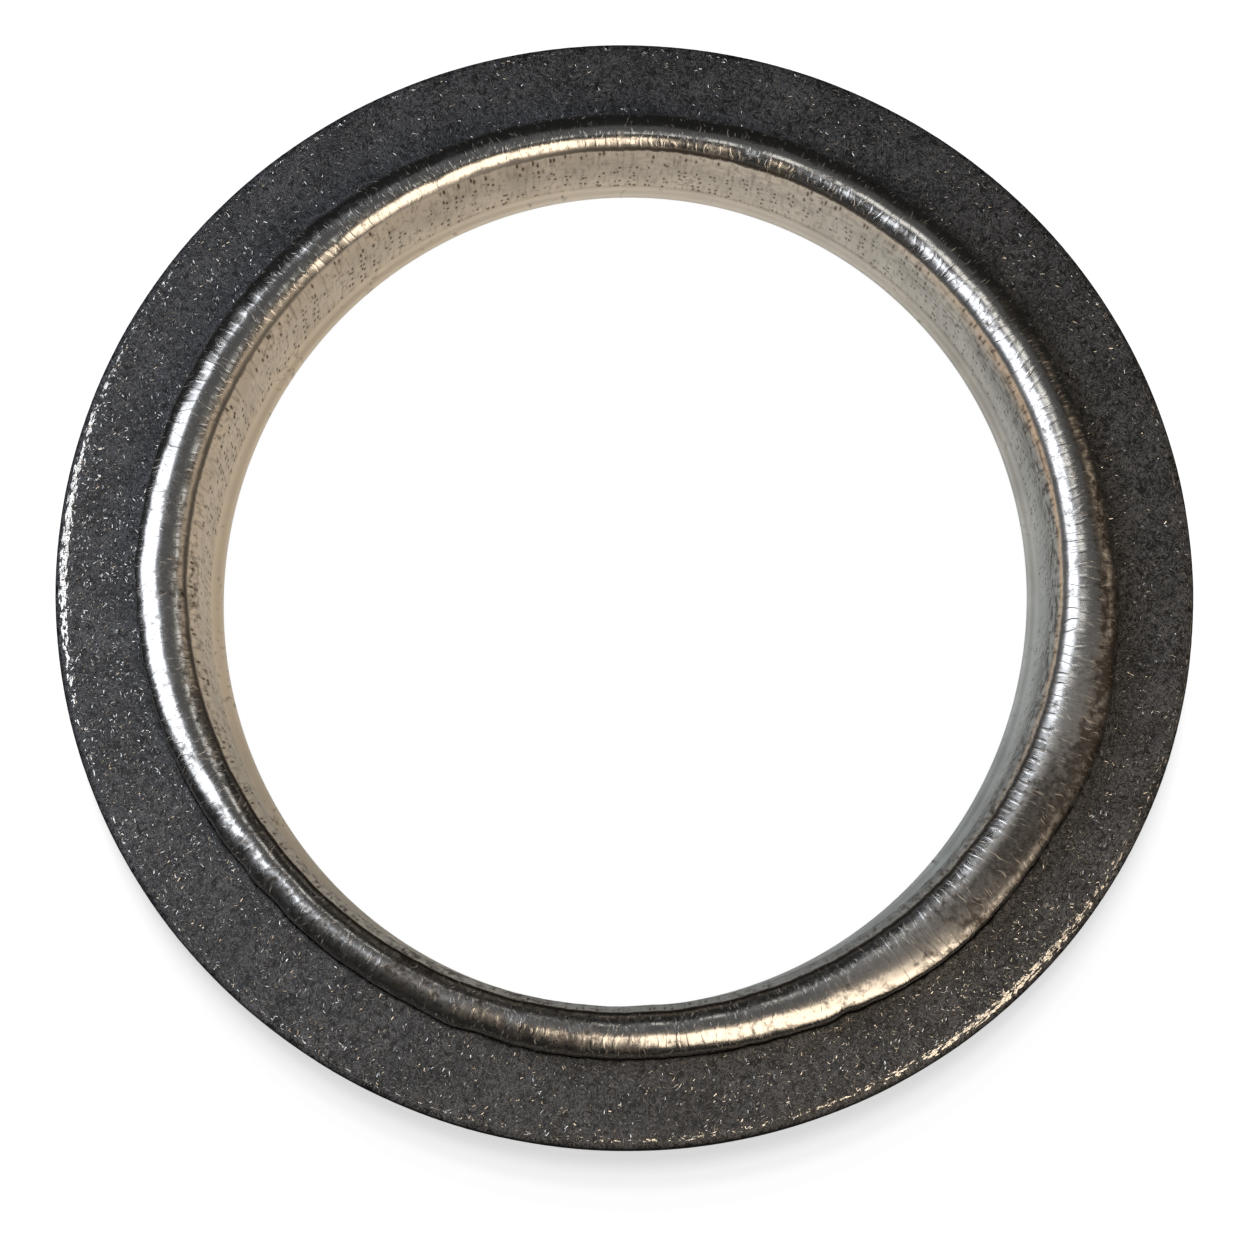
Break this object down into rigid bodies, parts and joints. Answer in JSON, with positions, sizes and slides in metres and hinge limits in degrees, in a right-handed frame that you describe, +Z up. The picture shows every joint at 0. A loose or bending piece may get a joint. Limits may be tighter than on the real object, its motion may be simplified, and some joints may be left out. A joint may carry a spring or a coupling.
{
  "type": "exhaust ring gasket",
  "caption": "Flat exhaust ring gasket: dark pressed graphite and wire-mesh packing ring on a steel sleeve with a rolled bead, sealing a pipe joint round its bore.",
  "frame": {"origin": "centre of the bore on the plane of the lower sealing face", "axes": "+Z up the bore axis, towards the rolled bead; X and Y are free, because the ring is round"},
  "size_m": [0.0604, 0.0604, 0.006],
  "materials": {
    "packing": "pressed graphite with steel wire showing, dull sheen",
    "sleeve": "stainless sheet, rolled and pressed over knitted wire, satin"
  },
  "bodies": {
    "root": {"packing_ring": "packing", "inner_sleeve": "sleeve"}
  },
  "joints": []
}
